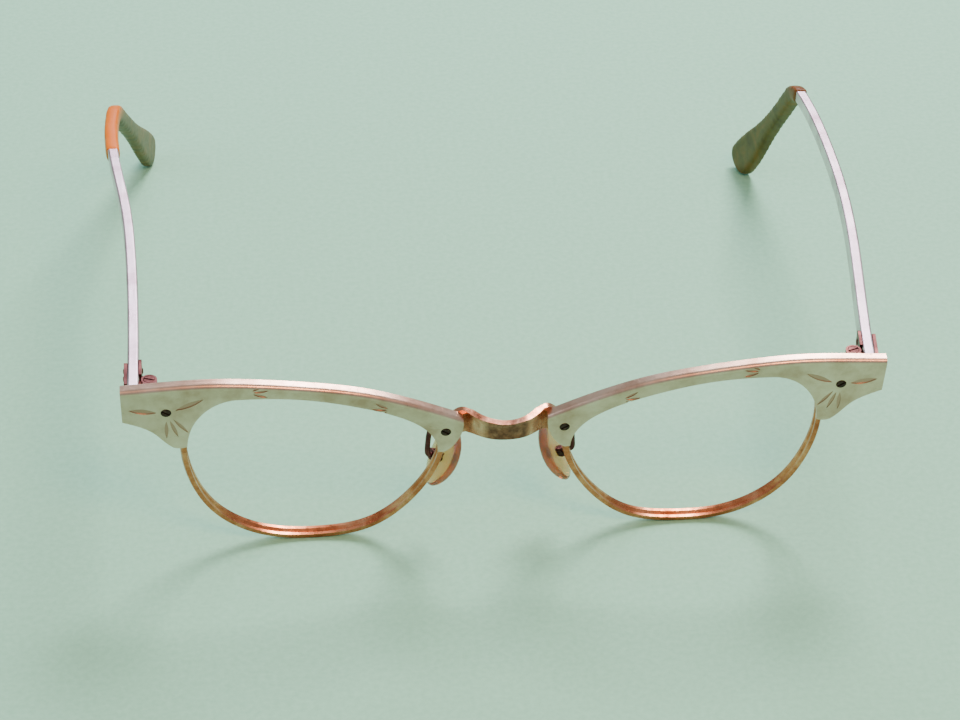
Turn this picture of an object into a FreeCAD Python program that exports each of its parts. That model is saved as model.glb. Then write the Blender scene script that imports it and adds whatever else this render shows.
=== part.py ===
import FreeCAD, Part
import math
import os

# Browline eyeglasses frame without lenses: two metal brows screwed over thin
# grooved eyewires, a bowed bridge, nose pads on wire arms, and folding temples.
# Millimetres. X runs to the right, Y to the back, Z up. The frame stands on a
# table (Z = 0) on its two eyewires and its two temple tips.
#
# The front is drawn flat, as (x, drop): x from its plane of symmetry and drop
# measured down from the top line of the brow. It is then tilted and set down.
# Every sub-part is made on the right and mirrored. The temples are adjusted to
# the wearer one by one, so they are made apart. At the end the whole frame is
# moved so that the origin is in the middle of its footprint on the table.

V = FreeCAD.Vector

# ---- lens and eyewire
EYE_WIDTH = 44.0          # boxed width of the lens
EYE_HEIGHT = 37.0         # boxed height of the lens
LENS_GAP = 22.0           # between the two lenses
GROOVE_DEPTH = 0.45       # lens groove inside the eyewire
GROOVE_WIDTH = 0.9
RIM_WALL = 1.15           # eyewire, from the lens opening outwards
RIM_DEPTH = 2.0           # eyewire, front to back
RIM_CROWN = 0.35          # how far the outside of the eyewire is rounded
RIM_SET_BACK = 0.9        # eyewire front behind the brow's front face
RIM_SPLIT = 0.3           # saw cut through the eyewire at the closing blocks
FRONT_TILT = 9.6          # degrees, top of the front leaning forward

# ---- brow
BROW_COVER = 2.9          # brow height above the lens opening at its top
BROW_THICK = 1.9
BROW_LAP = 0.12           # brow edge inside the eyewire's opening
BROW_EDGE = 0.8           # rounding along the top front edge
SEAT_CLEARANCE = 0.05     # eyewire in its seat behind the brow
WING_REACH = 10.55        # brow end past the lens opening
WING_DROP = 0.3           # brow end's top corner below the top line
WING_HEIGHT = 7.0         # brow end, top to bottom corner
WING_SLANT = 0.05         # lower corner inward of the top one
TAIL_DROP = 14.2          # lowest point of the brow's outer tail
ENGRAVE_DEPTH = 0.12

# ---- brow screws
SCREW_SHANK = 1.1
SCREW_HEAD = 1.8
SCREW_HEAD_HEIGHT = 0.5
SCREW_SLOT = 0.32
SCREW_PROUD = 0.12        # head standing proud of the brow
SLOT_SHARE = 0.45         # slot depth as a share of the head
HEAD_ROUND_SHARE = 0.35
BROW_SLOT_TURN = 35.0     # degrees that the slots stand at
HINGE_SLOT_TURN = 20.0
TEMPORAL_SCREW = (3.1, 5.4)   # past the lens opening, drop
NASAL_SCREW = (1.2, 13.1)     # inward of the lens opening, drop

# ---- bridge
BRIDGE_THICK = 1.1
BRIDGE_HEIGHT = 3.7       # at the middle
BRIDGE_DROP = 11.2        # middle of the band below the brow's top line
BRIDGE_BOW = 1.9          # band's middle in front of the brow's face
PLATE_THICK = 0.9         # plates behind the brow, on the bridge and endpiece
BRIDGE_PLATE_TOP = 9.5    # where the plate shows beside the brow
BRIDGE_PLATE_TUCK = 12.0  # its top where the brow hides it
BRIDGE_PLATE_LOW = 16.9

# ---- hinge
HINGE_OUT = 5.7           # axis past the lens opening
HINGE_STAND = 3.1         # axis behind the brow's back face
KNUCKLE_DIA = 2.7
KNUCKLE_HEIGHT = 1.15
KNUCKLE_GAP = 0.08
SPINE_CLEARANCE = 0.12    # joining web clear of the temple's knuckle
HINGE_DROP = 1.1          # barrel top below the brow's top line
HINGE_PIN = 1.2
PIN_CLEARANCE = 0.03      # radial, pin in the knuckles
HINGE_HEAD = 2.0
HINGE_HEAD_HEIGHT = 0.45
LEAF_THICK = 0.45
LEAF_LENGTH = 4.9
LEAF_GAP = 0.2            # leaf clear of the front knuckles
LEAF_ARM_OVER = 0.6       # knuckle's arm past the leaf's front end
LEAF_ROUND_SHARE = 0.55   # corner radius by half the leaf's height
SHIELD_THICK = 0.55
SHIELD_PAST_RIVET = 1.8
SHIELD_AHEAD = 1.0        # front end ahead of the hinge axis
RIVET_DIA = 0.8
RIVET_HEAD = 1.25
RIVET_HEAD_TOP = 0.75     # flat on top of the head
RIVET_HEAD_HEIGHT = 0.2
RIVET_PITCH = 2.2
RIVET_START = 1.2         # first rivet from the leaf's front end

# ---- closing blocks of the eyewire
BLOCK_WIDTH = 2.3
BLOCK_HEIGHT = 1.9
BLOCK_DEPTH = 2.3
BLOCK_OUT = 0.5           # outer face past the block's own width
BLOCK_THREAD = 1.6        # closing screw into the upper block
ENDPIECE_DROP = 1.4       # endpiece's top below the brow's top line
SPLIT_DROP = 10.7         # height of the saw cut
CLOSING_SCREW = 0.9
CLOSING_HEAD = 1.5
CLOSING_HEAD_HEIGHT = 0.6

# ---- temple
TEMPLE_REACH = 98.0       # hinge axis to the corner of the bend
TEMPLE_THICK = 2.0
TEMPLE_HEIGHT = 4.1       # at the hinge
BEND_HEIGHT = 2.5         # at the bend
CORE_HEIGHT = 1.3         # end of the metal core inside the tip
CORE_THICK = 1.1
TEMPLE_EDGE = 0.4         # bevel along the bar
TEMPLE_SLOPE = 2.2        # degrees, bar falling towards the back
TEMPLE_SPREAD = {"left": 0.0, "right": 7.0}   # degrees, opened past straight
# how far the bar has bent outwards from its hinge end: before and after its
# middle, near its knee and at the bend
TEMPLE_OUT = {"left": (0.6, 1.7, 3.8, 4.5), "right": (0.7, 0.2, -1.4, -4.2)}
TEMPLE_SHARES = (0.42, 0.6, 0.78)   # where those are, along the bar
BEND_LEAD = 4.0           # end of the bar's splay ahead of the bend's corner
TEMPLE_INSET = 2.7        # bar's middle outward of the hinge axis
BUTT_CLEARANCE = 0.15     # bar's end behind the brow
HOOK_ANGLE = {"left": 48.4, "right": 35.7}   # degrees from vertical
HOOK_INWARD = {"left": 6.2, "right": 9.3}     # tip end inward of the bend
BEND_RADIUS = 5.5
SLEEVE_WALL = 0.35        # tip around the bar
SLEEVE_LEAD = {"left": 15.9, "right": 0.3}   # tip's mouth ahead of the bend
PADDLE_WIDTH = 6.7
PADDLE_THICK = 2.4
PADDLE_GROWTH = ((0.22, 0.0), (0.5, 0.16), (0.8, 0.82))   # along hook, widened
PADDLE_FULL = 0.8         # where along the hook the paddle is fully thick
CORE_SHARE = 0.78         # metal core along the hook

# ---- nose pads
PAD_LENGTH = 11.8
PAD_WIDTH = 7.3
PAD_THICK = 1.9
PAD_OUT = 9.9             # pad centre from the plane of symmetry
PAD_BACK = 10.3           # pad centre behind the brow's top front edge
PAD_DROP = 24.4           # pad centre below the brow's top line
PAD_SPLAY = 30.0          # degrees, lower end further apart
PAD_FLARE = 24.0          # degrees, rear edge further apart
PIVOT_OFF = 1.55          # pivot outside the pad's middle
LUG_WIDTH = 1.0
LUG_HALF = 0.75
LUG_SUNK = 0.2            # lug's foot from the pad's middle plane
CHEEK_WALL = 0.4
CHEEK_CLEARANCE = 0.1
BOX_CLEARANCE = 0.35      # box clear of the pad, which rocks under it
PAD_PIN = 0.7
PAD_PIN_HEAD = 1.1
PAD_ROUND_SHARE = 0.4     # edge rounding by the pad's thickness
ARM_WIRE = 0.95
SOLDER_BALL = 1.7
ARM_DROP = 17.4           # solder point on the eyewire

# ---- values that follow
HALF_W = EYE_WIDTH / 2 - GROOVE_DEPTH
HALF_H = EYE_HEIGHT / 2 - GROOVE_DEPTH
LENS_X = (EYE_WIDTH + LENS_GAP) / 2
LENS_DROP = BROW_COVER + HALF_H
OUTER_X = LENS_X + HALF_W
INNER_X = LENS_X - HALF_W
RIM_MID = RIM_SET_BACK + RIM_DEPTH / 2
HINGE_X = OUTER_X + HINGE_OUT
HINGE_BACK = BROW_THICK + HINGE_STAND   # from the brow's front top edge
TEMPLE_X = HINGE_X + TEMPLE_INSET

# Lens outline as shares of its half width and half height, from the top
# outer shoulder clockwise.
LENS_SHAPE = [
    (0.576, 1.0), (0.797, 0.906), (0.94, 0.685), (1.0, 0.26),
    (0.949, -0.138), (0.747, -0.635), (0.369, -0.945), (-0.06, -1.0),
    (-0.415, -0.917), (-0.76, -0.552), (-0.958, -0.105), (-0.995, 0.26),
    (-0.90, 0.48), (-0.76, 0.619), (-0.415, 0.807), (0.046, 0.956),
]


# ---- helpers for flat outlines

def flat(x, drop, depth=0.0):
    return V(x, depth, -drop)


def over_lens(across, up, cover=0.0):
    return flat(LENS_X + across * HALF_W, LENS_DROP - up * HALF_H - cover)


def curve(points, closed=False):
    spline = Part.BSplineCurve()
    spline.interpolate(Points=points, PeriodicFlag=closed)
    return spline


def shifted(points, move):
    return [p + move for p in points]


def line(a, b):
    return Part.LineSegment(a, b).toShape()


def polygon(points):
    return Part.makePolygon(points + points[:1])


def plate(wire, direction):
    return Part.Face(wire).extrude(direction)


def box(x0, x1, y0, y1, z0, z1):
    return Part.makeBox(x1 - x0, y1 - y0, z1 - z0, V(x0, y0, z0))


def rod(radius, start, end):
    return Part.makeCylinder(radius, (end - start).Length, start, end - start)


def lens_points(outward, count=64):
    base = curve([over_lens(a, u) for a, u in LENS_SHAPE], closed=True)
    first, last = base.FirstParameter, base.LastParameter
    points = []
    for n in range(count):
        t = first + (last - first) * n / count
        along = base.tangent(t)[0]
        out = along.cross(V(0, 1, 0))
        middle = flat(LENS_X, LENS_DROP)
        if out.dot(base.value(t) - middle) < 0:
            out = -out
        points.append(base.value(t) + out.normalize() * outward)
    return points


def lens_prism(outward, depth0, depth1):
    loop = shifted(lens_points(outward), V(0, depth0, 0))
    wire = Part.Wire([curve(loop, closed=True).toShape()])
    return plate(wire, V(0, depth1 - depth0, 0))


def tilted(shape):
    turned = shape.copy()
    turned.rotate(V(0, 0, 0), V(1, 0, 0), FRONT_TILT)
    return turned


def round_edges(shape, radius, wanted):
    edges = [e for e in shape.Edges if wanted(e)]
    return shape.makeFillet(radius, edges)


def at_depth(edge, depth):
    return all(abs(v.Point.y - depth) < 1e-6 for v in edge.Vertexes)


# ---- front

def eyewire():
    loop = shifted(lens_points(0.0), V(0, RIM_MID, 0))
    path = Part.Wire([curve(loop, closed=True).toShape()])
    start = path.Edges[0].valueAt(path.Edges[0].FirstParameter)
    along = path.Edges[0].tangentAt(path.Edges[0].FirstParameter)
    out = along.cross(V(0, 1, 0)).normalize()
    if out.dot(start - flat(LENS_X, LENS_DROP, RIM_MID)) < 0:
        out = -out

    def at(outward, depth):
        return start + out * outward + V(0, depth, 0)

    half = RIM_DEPTH / 2
    shoulder = RIM_WALL - RIM_CROWN
    crown = Part.Arc(at(shoulder, half), at(RIM_WALL, 0), at(shoulder, -half))
    section = Part.Wire([
        line(at(0, -half), at(0, -GROOVE_WIDTH / 2)),
        line(at(0, -GROOVE_WIDTH / 2), at(GROOVE_DEPTH, 0)),
        line(at(GROOVE_DEPTH, 0), at(0, GROOVE_WIDTH / 2)),
        line(at(0, GROOVE_WIDTH / 2), at(0, half)),
        line(at(0, half), at(shoulder, half)),
        crown.toShape(),
        line(at(shoulder, -half), at(0, -half)),
    ])
    pipe = Part.BRepOffsetAPI.MakePipeShell(path)
    pipe.setBiNormalMode(V(0, 1, 0))
    pipe.add(section)
    pipe.build()
    pipe.makeSolid()
    ring = pipe.shape()
    saw = box(OUTER_X - 2, OUTER_X + 3, 0, RIM_SET_BACK + RIM_DEPTH + 1,
              -SPLIT_DROP - RIM_SPLIT / 2, -SPLIT_DROP + RIM_SPLIT / 2)
    return ring.cut(saw)


def brow_outline():
    # the top line follows the lens from the wing to the nose at a changing
    # height above it, then the edge turns down the nose and under the wing
    corner = flat(OUTER_X + WING_REACH, WING_DROP)
    low_corner = flat(OUTER_X + WING_REACH - WING_SLANT,
                      WING_DROP + WING_HEIGHT)
    nose_top = flat(INNER_X - 4.15, LENS_DROP - 0.575 * HALF_H)
    top = curve([
        corner, flat(OUTER_X + 5.9, 0.0), over_lens(0.766, 0.925, 4.65),
        over_lens(0.53, 1.0, 2.95), over_lens(0.046, 0.956, 2.4),
        over_lens(-0.415, 0.807, 3.0), over_lens(-0.75, 0.62, 3.75), nose_top,
    ])
    nose_tip = flat(INNER_X - 0.9, LENS_DROP - 0.16 * HALF_H)
    nose = curve([
        nose_top, flat(INNER_X - 4.0, nose_tip.z * -1 - 4.7),
        flat(INNER_X - 3.1, -nose_tip.z - 2.4),
        flat(INNER_X - 2.0, -nose_tip.z - 0.8), nose_tip,
    ])
    tail_in = flat(OUTER_X - 0.4, TAIL_DROP - 0.4)
    tail_out = flat(OUTER_X + 2.2, TAIL_DROP - 0.25)
    under = curve([
        low_corner, flat(OUTER_X + 7.9, 8.45), flat(OUTER_X + 5.5, 10.1),
        flat(OUTER_X + 3.6, 12.5), tail_out,
    ])
    tail = Part.Arc(tail_out, flat(OUTER_X + 0.9, TAIL_DROP), tail_in)
    return Part.Wire([
        top.toShape(), nose.toShape(), line(nose_tip, tail_in),
        tail.toShape(), under.toShape(), line(low_corner, corner),
    ])


def leaf_mark(start, end, belly):
    # a leaf-shaped cut, pointed at both ends
    middle = (start + end) * 0.5
    side = (end - start).cross(V(0, 1, 0)).normalize()
    up = Part.Arc(start, middle + side * belly, end)
    down = Part.Arc(end, middle - side * belly, start)
    wire = Part.Wire([up.toShape(), down.toShape()])
    return plate(wire, V(0, ENGRAVE_DEPTH * 2, 0))


def engraving():
    drop = TEMPORAL_SCREW[1]
    screw = flat(OUTER_X + TEMPORAL_SCREW[0], drop, -ENGRAVE_DEPTH)
    marks = [
        leaf_mark(screw + V(1.6, 0, 0.1), screw + V(6.2, 0, 0.9), 0.6),
        leaf_mark(screw + V(-1.6, 0, 0.5), screw + V(-6.4, 0, 2.9), 0.52),
    ]
    for lean in (-0.62, -0.3, 0.02):
        way = V(math.sin(lean), 0, -math.cos(lean))
        marks.append(leaf_mark(screw + way * 2.0, screw + way * 6.2, 0.32))
    for across, up, run in ((-0.62, 0.69, 1), (0.50, 1.0, -1)):
        bud = over_lens(across, up, 1.35) + V(0, -ENGRAVE_DEPTH, 0)
        for lean in (-0.42, 0.16, 0.74):
            way = V(run * math.cos(lean * 0.8), 0, math.sin(lean * 0.8))
            marks.append(leaf_mark(bud + way * 0.8, bud + way * 3.4, 0.3))
    return marks


def brow():
    body = plate(brow_outline(), V(0, BROW_THICK, 0))
    body = body.cut(lens_prism(-BROW_LAP, -1, BROW_THICK + 1))

    def top_front(edge):
        high = edge.BoundBox.XLength > EYE_WIDTH
        return at_depth(edge, 0) and high and edge.BoundBox.ZMax > -1
    body = round_edges(body, BROW_EDGE, top_front)
    seat = lens_prism(RIM_WALL + SEAT_CLEARANCE,
                      RIM_SET_BACK - SEAT_CLEARANCE, BROW_THICK + 1)
    body = body.cut(seat)
    for out, drop in brow_screw_places():
        shank = rod(SCREW_SHANK / 2, flat(out, drop, -1), flat(out, drop, 3))
        sink = rod(SCREW_HEAD / 2, flat(out, drop, -1),
                   flat(out, drop, SCREW_HEAD_HEIGHT - SCREW_PROUD))
        body = body.cut(shank.fuse(sink))
    return body.cut(engraving())


def brow_screw_places():
    return [
        (OUTER_X + TEMPORAL_SCREW[0], TEMPORAL_SCREW[1]),
        (INNER_X - NASAL_SCREW[0], NASAL_SCREW[1]),
    ]


def slotted_screw(head, head_height, shank, length, slot_width):
    # head top at the origin, shank along -Z
    body = rod(head / 2, V(0, 0, -head_height), V(0, 0, 0))
    rim = [e for e in body.Edges if e.BoundBox.ZMin > -1e-6]
    body = body.makeFillet(head_height * HEAD_ROUND_SHARE, rim[:1])
    body = body.fuse(rod(shank / 2, V(0, 0, -length), V(0, 0, -head_height)))
    slot = box(-head, head, -slot_width / 2, slot_width / 2,
               -head_height * SLOT_SHARE, head_height)
    return body.cut(slot).removeSplitter()


def brow_screw(place):
    out, drop = place
    length = SCREW_PROUD + BROW_THICK + PLATE_THICK
    screw = slotted_screw(SCREW_HEAD, SCREW_HEAD_HEIGHT, SCREW_SHANK,
                          length, SCREW_SLOT)
    screw.rotate(V(0, 0, 0), V(0, 0, 1), BROW_SLOT_TURN)
    screw.rotate(V(0, 0, 0), V(1, 0, 0), 90)
    screw.translate(flat(out, drop, -SCREW_PROUD))
    return screw


def bridge():
    # the band in plan, from the bow in the middle to the plates behind the
    # brows, then cut to its outline seen from the front
    back = BROW_THICK + PLATE_THICK / 2
    root = INNER_X - 4.0
    half = [
        V(0, -BRIDGE_BOW, 0), V(root * 0.36, -BRIDGE_BOW + 0.35, 0),
        V(root * 0.64, -0.1, 0), V(root * 0.86, back - 0.75, 0),
        V(root + 0.5, back, 0), V(INNER_X + 1, back, 0),
    ]
    mirrored = [V(-p.x, p.y, 0) for p in reversed(half[1:])]
    middle = curve(mirrored + half)
    front, rear = [], []
    steps = 48
    for n in range(steps + 1):
        t = middle.FirstParameter + n / steps * (
            middle.LastParameter - middle.FirstParameter)
        side = middle.tangent(t)[0].cross(V(0, 0, 1)).normalize()
        p = middle.value(t)
        thick = BRIDGE_THICK if abs(p.x) < root * 0.8 else PLATE_THICK
        front.append(p + side * thick / 2)
        rear.append(p - side * thick / 2)
    faces = [curve(front).toShape(), curve(rear).toShape()]
    ends = [line(front[0], rear[0]), line(front[-1], rear[-1])]
    band = plate(Part.Wire(Part.__sortEdges__(faces + ends)), V(0, 0, -30))
    top = BRIDGE_DROP - BRIDGE_HEIGHT / 2
    low = BRIDGE_DROP + BRIDGE_HEIGHT / 2
    tuck = BRIDGE_PLATE_TUCK
    upper = [(INNER_X, tuck), (root + 1.6, tuck - 0.9),
             (root, BRIDGE_PLATE_TOP + 0.2), (root * 0.8, BRIDGE_PLATE_TOP),
             (root * 0.45, top - 0.25), (0, top)]
    lower = [(0, low), (root * 0.45, low + 0.05), (root * 0.72, low + 0.6),
             (root * 0.98, BRIDGE_PLATE_LOW - 1.9), (INNER_X, BRIDGE_PLATE_LOW)]
    across = [flat(x, d, -9) for x, d in upper]
    across += [flat(-x, d, -9) for x, d in reversed(upper[:-1])]
    beneath = [flat(-x, d, -9) for x, d in reversed(lower[1:])]
    beneath += [flat(x, d, -9) for x, d in lower]
    outline = Part.Wire([
        curve(across).toShape(), line(across[-1], beneath[0]),
        curve(beneath).toShape(), line(beneath[-1], across[0]),
    ])
    body = band.common(plate(outline, V(0, 20, 0)))
    rims = lens_prism(RIM_WALL, -10, 10)
    body = body.cut([rims, mirror(rims)])
    out, drop = brow_screw_places()[1]
    hole = rod(SCREW_SHANK / 2, flat(out, drop, 0), flat(out, drop, 6))
    return body.cut([hole, mirror(hole)])


def endpiece():
    back = BROW_THICK + PLATE_THICK
    reach = BLOCK_HEIGHT + BLOCK_OUT
    pad = box(OUTER_X - 1.5, HINGE_X + 1.1, BROW_THICK, back,
              -SPLIT_DROP + BLOCK_HEIGHT, -ENDPIECE_DROP)
    block = box(OUTER_X, OUTER_X + BLOCK_WIDTH + BLOCK_OUT, BROW_THICK,
                BROW_THICK + BLOCK_DEPTH,
                -SPLIT_DROP + RIM_SPLIT / 2, -SPLIT_DROP + reach)
    body = pad.fuse(block).cut(lens_prism(RIM_WALL, -1, 10))
    out, drop = brow_screw_places()[0]
    hole = rod(SCREW_SHANK / 2, flat(out, drop, 0), flat(out, drop, 6))
    thread = rod(CLOSING_SCREW / 2, closing_axis(-5), closing_axis(BLOCK_THREAD))
    return body.cut(hole).cut(thread).removeSplitter()


def closing_axis(rise):
    middle = (RIM_WALL + BLOCK_WIDTH + BLOCK_OUT) / 2
    return flat(OUTER_X + middle, SPLIT_DROP - rise, BROW_THICK + BLOCK_DEPTH / 2)


def closing_block():
    low = -SPLIT_DROP - RIM_SPLIT / 2
    block = box(OUTER_X - 1, OUTER_X + BLOCK_WIDTH + BLOCK_OUT, BROW_THICK,
                BROW_THICK + BLOCK_DEPTH, low - BLOCK_HEIGHT, low)
    block = block.cut(lens_prism(RIM_WALL, -1, 10))
    bore = rod(CLOSING_SCREW / 2, closing_axis(-5), closing_axis(2))
    sink = rod(CLOSING_HEAD / 2, closing_axis(-9),
               closing_axis(-BLOCK_HEIGHT + CLOSING_HEAD_HEIGHT / 2))
    return block.cut(bore.fuse(sink))


def closing_screw():
    low = -BLOCK_HEIGHT - CLOSING_HEAD_HEIGHT / 2
    length = -low + BLOCK_THREAD
    screw = slotted_screw(CLOSING_HEAD, CLOSING_HEAD_HEIGHT, CLOSING_SCREW,
                          length, SCREW_SLOT)
    screw.rotate(V(0, 0, 0), V(1, 0, 0), 180)
    screw.translate(closing_axis(low))
    return screw


# ---- hinge, in the standing frame

def hinge_levels(top):
    # bottom and top of the three knuckles, highest first
    levels = []
    for n in range(3):
        high = top - n * (KNUCKLE_HEIGHT + KNUCKLE_GAP)
        levels.append((high - KNUCKLE_HEIGHT, high))
    return levels


def hinge_axis(z):
    return V(HINGE_X, HINGE_BACK, z)


def front_knuckles(top, lift):
    levels = hinge_levels(top)
    radius = KNUCKLE_DIA / 2
    body = None
    for low, high in (levels[0], levels[2]):
        knuckle = rod(radius, hinge_axis(low), hinge_axis(high))
        web = box(HINGE_X - radius, HINGE_X + radius * 0.8, 0, HINGE_BACK, low, high)
        knuckle = knuckle.fuse(web)
        body = knuckle if body is None else body.fuse(knuckle)
    reach = HINGE_BACK - radius - SPINE_CLEARANCE
    spine = box(HINGE_X - radius, HINGE_X + radius * 0.8, 0, reach,
                levels[2][0], levels[0][1])
    body = body.fuse(spine).removeSplitter()
    back = BROW_THICK + PLATE_THICK
    front = tilted(box(0, 2 * HINGE_X, -20, back, -40, 20))
    front.translate(V(0, 0, lift))
    body = body.cut(front)
    bore = rod(HINGE_PIN / 2, hinge_axis(levels[2][0] - 1), hinge_axis(top + 1))
    sink = rod(HINGE_HEAD / 2, hinge_axis(top - HINGE_HEAD_HEIGHT), hinge_axis(top + 1))
    return body.cut(bore.fuse(sink))


def hinge_screw(top):
    low = hinge_levels(top)[2][0]
    screw = slotted_screw(HINGE_HEAD, HINGE_HEAD_HEIGHT, HINGE_PIN,
                          top - low, SCREW_SLOT)
    screw.rotate(V(0, 0, 0), V(0, 0, 1), HINGE_SLOT_TURN)
    screw.translate(hinge_axis(top))
    return screw


def hinge_leaf(top):
    low, high = hinge_levels(top)[1]
    radius = KNUCKLE_DIA / 2
    face = TEMPLE_X - TEMPLE_THICK / 2
    knuckle = rod(radius, hinge_axis(low), hinge_axis(high))
    start = HINGE_BACK + radius + LEAF_GAP
    arm = box(HINGE_X, face, HINGE_BACK + PIN_CLEARANCE, start + LEAF_ARM_OVER,
              low, high)
    half = (3 * KNUCKLE_HEIGHT + 2 * KNUCKLE_GAP) / 2
    middle = (low + high) / 2
    leaf = box(face - LEAF_THICK, face, start, start + LEAF_LENGTH,
               middle - half, middle + half)
    corners = [e for e in leaf.Edges
               if e.BoundBox.XLength > LEAF_THICK / 2
               and e.BoundBox.YMin > start + 1]
    leaf = leaf.makeFillet(half * LEAF_ROUND_SHARE, corners)
    body = knuckle.fuse(arm).fuse(leaf).removeSplitter()
    pin = HINGE_PIN / 2 + PIN_CLEARANCE
    body = body.cut(rod(pin, hinge_axis(low - 1), hinge_axis(high + 1)))
    return body.cut(rivet_holes(top))


def rivet_places(top):
    z = top - 1.5 * KNUCKLE_HEIGHT - KNUCKLE_GAP
    start = HINGE_BACK + KNUCKLE_DIA / 2 + LEAF_GAP + RIVET_START
    return [V(TEMPLE_X, start + n * RIVET_PITCH, z) for n in range(2)]


def rivet_holes(top):
    half = V(TEMPLE_THICK / 2 + SHIELD_THICK + 1, 0, 0)
    holes = [rod(RIVET_DIA / 2, p - half, p + half) for p in rivet_places(top)]
    return holes[0].fuse(holes[1])


def rivets(top):
    inner = V(TEMPLE_THICK / 2 + LEAF_THICK, 0, 0)
    outer = V(TEMPLE_THICK / 2 + SHIELD_THICK, 0, 0)
    solids = []
    for p in rivet_places(top):
        body = rod(RIVET_DIA / 2, p - inner, p + outer)
        for face, way in ((p - inner, V(-1, 0, 0)), (p + outer, V(1, 0, 0))):
            head = Part.makeCone(RIVET_HEAD / 2, RIVET_HEAD_TOP / 2,
                                 RIVET_HEAD_HEIGHT, face, way)
            body = body.fuse(head)
        solids.append(body)
    return Part.Compound(solids)


def shield(top):
    face = TEMPLE_X + TEMPLE_THICK / 2
    start = HINGE_BACK - SHIELD_AHEAD
    z = rivet_places(top)[0].z
    half = KNUCKLE_HEIGHT * 1.5
    reach = rivet_places(top)[1].y + SHIELD_PAST_RIVET
    outline = polygon([
        V(face, start, z - half), V(face, reach - half, z - half),
        V(face, reach, z), V(face, reach - half, z + half),
        V(face, start, z + half),
    ])
    body = plate(outline, V(SHIELD_THICK, 0, 0))
    return body.cut(rivet_holes(top))


# ---- temple

def bar_middle(view):
    # plan of the bar's middle line: straight splay, then inward at the hook
    corner_y = view.corner.y
    run = view.hook_run()
    bend = view.out[-1]
    inward = view.inward
    along = [
        V(TEMPLE_X + out, HINGE_BACK + share * TEMPLE_REACH, 0)
        for out, share in zip(view.out, TEMPLE_SHARES)
    ]
    return curve([
        V(TEMPLE_X, 0, 0), V(TEMPLE_X, HINGE_BACK + LEAF_LENGTH, 0), *along,
        V(TEMPLE_X + bend, corner_y - BEND_LEAD, 0),
        V(TEMPLE_X + bend - 0.36 * inward, corner_y + 0.33 * run, 0),
        V(TEMPLE_X + bend - inward, corner_y + run, 0),
        V(TEMPLE_X + bend - 1.5 * inward, corner_y + 1.5 * run, 0),
    ])


def plan_band(view, half_thick, y0, y1, z0, z1):
    middle = bar_middle(view)
    sides = ([], [])
    steps = 40
    for n in range(steps + 1):
        t = middle.FirstParameter + n / steps * (
            middle.LastParameter - middle.FirstParameter)
        p = middle.value(t)
        out = middle.tangent(t)[0].cross(V(0, 0, 1)).normalize()
        for side, way in zip(sides, (1, -1)):
            side.append(p + out * half_thick(p.y) * way + V(0, 0, z0))
    wire = Part.Wire([
        curve(sides[0]).toShape(), line(sides[0][-1], sides[1][-1]),
        curve(list(reversed(sides[1]))).toShape(),
        line(sides[1][0], sides[0][0]),
    ])
    band = plate(wire, V(0, 0, z1 - z0))
    return band.common(box(0, 3 * HINGE_X, y0, y1, z0, z1))


class SideView:
    # the temple seen from the side: bar line, bend and hook
    def __init__(self, root_z, side):
        slope = math.radians(TEMPLE_SLOPE)
        lean = math.radians(HOOK_ANGLE[side])
        self.out = TEMPLE_OUT[side]
        self.inward = HOOK_INWARD[side]
        self.lead = SLEEVE_LEAD[side]
        self.bar = V(0, math.cos(slope), -math.sin(slope))
        self.hook = V(0, math.sin(lean), -math.cos(lean))
        self.bar_up = V(0, math.sin(slope), math.cos(slope))
        self.hook_up = V(0, math.cos(lean), math.sin(lean))
        self.root = V(0, HINGE_BACK, root_z)
        self.corner = self.root + self.bar * (TEMPLE_REACH / math.cos(slope))
        turn = math.pi / 2 - lean - slope
        self.tangent = BEND_RADIUS * math.tan(turn / 2)
        self.centre = self.corner - self.bar * self.tangent - self.bar_up * BEND_RADIUS
        self.mid_out = (self.bar_up + self.hook_up).normalize()

    def on_bar(self, back, up):
        return self.root + self.bar * back + self.bar_up * up

    def before_bend(self, back, up):
        return self.corner - self.bar * (self.tangent + back) + self.bar_up * up

    def on_hook(self, down, up):
        return self.corner + self.hook * (self.tangent + down) + self.hook_up * up

    def bend_arc(self, up):
        return Part.Arc(self.before_bend(0, up),
                        self.centre + self.mid_out * (BEND_RADIUS + up),
                        self.on_hook(0, up)).toShape()

    def hook_length(self):
        # from the end of the bend to the middle of the paddle's round end
        start = self.on_hook(0, 0)
        return (start.z - PADDLE_WIDTH / 2) / -self.hook.z

    def hook_run(self):
        return self.corner.z * self.hook.y / -self.hook.z


def bar_side(view):
    h0 = TEMPLE_HEIGHT / 2
    h1 = BEND_HEIGHT / 2
    h2 = CORE_HEIGHT / 2
    end = view.hook_length() * CORE_SHARE
    before = -HINGE_BACK - 1
    return Part.Wire([
        line(view.on_bar(before, h0), view.before_bend(0, h1)),
        view.bend_arc(h1),
        line(view.on_hook(0, h1), view.on_hook(end, h2)),
        line(view.on_hook(end, h2), view.on_hook(end, -h2)),
        line(view.on_hook(end, -h2), view.on_hook(0, -h1)),
        view.bend_arc(-h1),
        line(view.before_bend(0, -h1), view.on_bar(before, -h0)),
        line(view.on_bar(before, -h0), view.on_bar(before, h0)),
    ])


def temple_bar(view, top):
    side = plate(bar_side(view), V(4 * HINGE_X, 0, 0))
    low, high = -20, 3 * EYE_HEIGHT
    core_end = view.corner.y + view.hook_run() * CORE_SHARE

    def half_thick(y):
        share = min(max((y - view.corner.y) / (core_end - view.corner.y), 0), 1)
        return (TEMPLE_THICK + (CORE_THICK - TEMPLE_THICK) * share) / 2
    band = plan_band(view, half_thick, -5, 3 * TEMPLE_REACH, low, high)
    bar = side.common(band)

    def long_edge(edge):
        return edge.Length > TEMPLE_REACH * 0.5
    bar = round_edges(bar, TEMPLE_EDGE, long_edge)
    return bar.cut(rivet_holes(top))


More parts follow.
